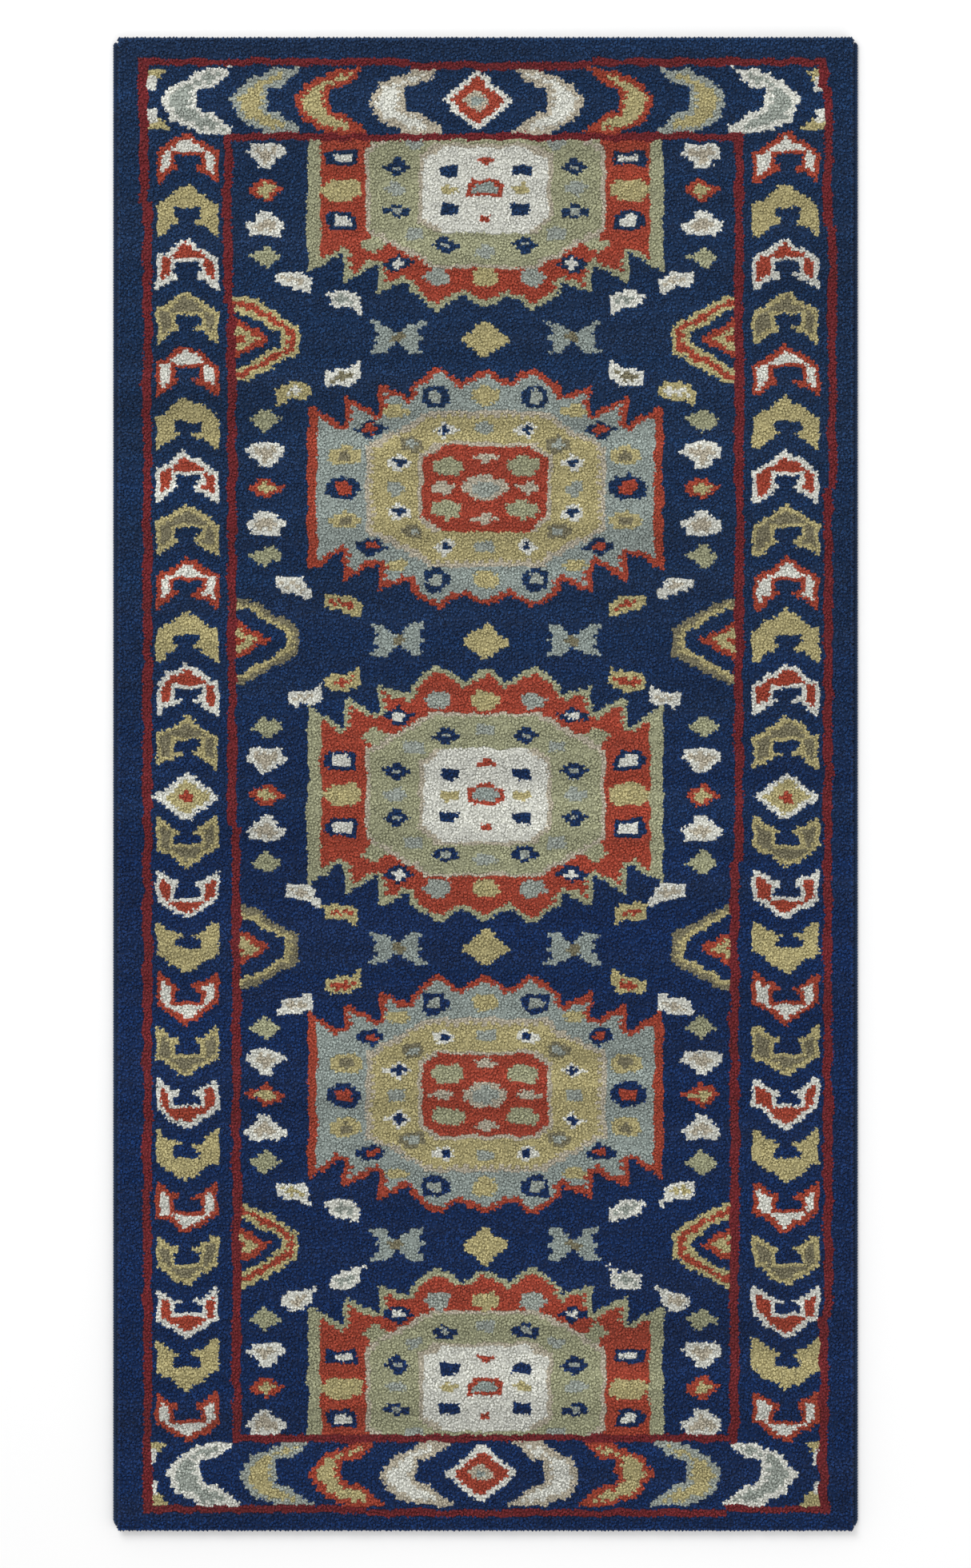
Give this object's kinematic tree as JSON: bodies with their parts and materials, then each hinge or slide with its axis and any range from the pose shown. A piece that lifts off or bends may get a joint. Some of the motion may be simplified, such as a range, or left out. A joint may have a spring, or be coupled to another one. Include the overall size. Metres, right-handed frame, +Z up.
{
  "type": "area rug",
  "caption": "Hand-knotted wool pile scatter rug with a row of toothed medallions, a chevron border, corded side edges and turned-under ends.",
  "frame": {"origin": "on the floor, under the middle of the rug's outline", "axes": "+Y along the rug's length towards the head end, +X across its width, +Z up out of the pile"},
  "size_m": [0.6096, 1.2192, 0.012],
  "materials": {
    "navy_wool": "dyed wool, cut pile",
    "madder_wool": "dyed wool, cut pile",
    "brick_wool": "dyed wool, cut pile",
    "ivory_wool": "undyed wool, cut pile",
    "cream_wool": "dyed wool, cut pile",
    "gold_wool": "dyed wool, cut pile",
    "sage_wool": "dyed wool, cut pile",
    "grey_wool": "dyed wool, cut pile",
    "selvedge_wool": "dyed wool yarn, overcast",
    "cotton": "undyed cotton, flat-woven"
  },
  "bodies": {
    "root": {"border_pile_foot": "navy_wool", "border_pile_head": "navy_wool", "border_pile_left": "navy_wool", "border_pile_right": "navy_wool", "field_pile": "navy_wool", "foundation_cloth": "cotton", "hem_stitch_foot": "cotton", "hem_stitch_head": "cotton", "inner_guard_pile": "madder_wool", "kilim_hem_foot": "cotton", "kilim_hem_head": "cotton", "margin_pile_foot": "navy_wool", "margin_pile_head": "navy_wool", "margin_pile_left": "navy_wool", "margin_pile_right": "navy_wool", "medallion_1_centre": "ivory_wool", "medallion_1_centre_edge": "cream_wool", "medallion_1_ground": "brick_wool", "medallion_1_octagon": "sage_wool", "medallion_1_octagon_edge": "cream_wool", "medallion_1_outline": "sage_wool", "medallion_2_centre": "brick_wool", "medallion_2_centre_edge": "ivory_wool", "medallion_2_ground": "grey_wool", "medallion_2_octagon": "gold_wool", "medallion_2_octagon_edge": "ivory_wool", "medallion_2_outline": "brick_wool", "medallion_3_centre": "ivory_wool", "medallion_3_centre_edge": "cream_wool", "medallion_3_ground": "brick_wool", "medallion_3_octagon": "sage_wool", "medallion_3_octagon_edge": "cream_wool", "medallion_3_outline": "sage_wool", "medallion_4_centre": "brick_wool", "medallion_4_centre_edge": "ivory_wool", "medallion_4_ground": "grey_wool", "medallion_4_octagon": "gold_wool", "medallion_4_octagon_edge": "ivory_wool", "medallion_4_outline": "brick_wool", "medallion_5_centre": "ivory_wool", "medallion_5_centre_edge": "cream_wool", "medallion_5_ground": "brick_wool", "medallion_5_octagon": "sage_wool", "medallion_5_octagon_edge": "cream_wool", "medallion_5_outline": "sage_wool", "outer_guard_pile": "madder_wool", "selvedge_cord_left": "cotton", "selvedge_cord_right": "cotton", "selvedge_wrap_left": "selvedge_wool", "selvedge_wrap_right": "selvedge_wool", "side_arrow_1_left": "gold_wool", "side_arrow_1_right": "gold_wool", "side_arrow_2_left": "gold_wool", "side_arrow_2_right": "gold_wool", "side_arrow_3_left": "gold_wool", "side_arrow_3_right": "gold_wool", "side_arrow_4_left": "gold_wool", "side_arrow_4_right": "gold_wool"}
  },
  "joints": []
}
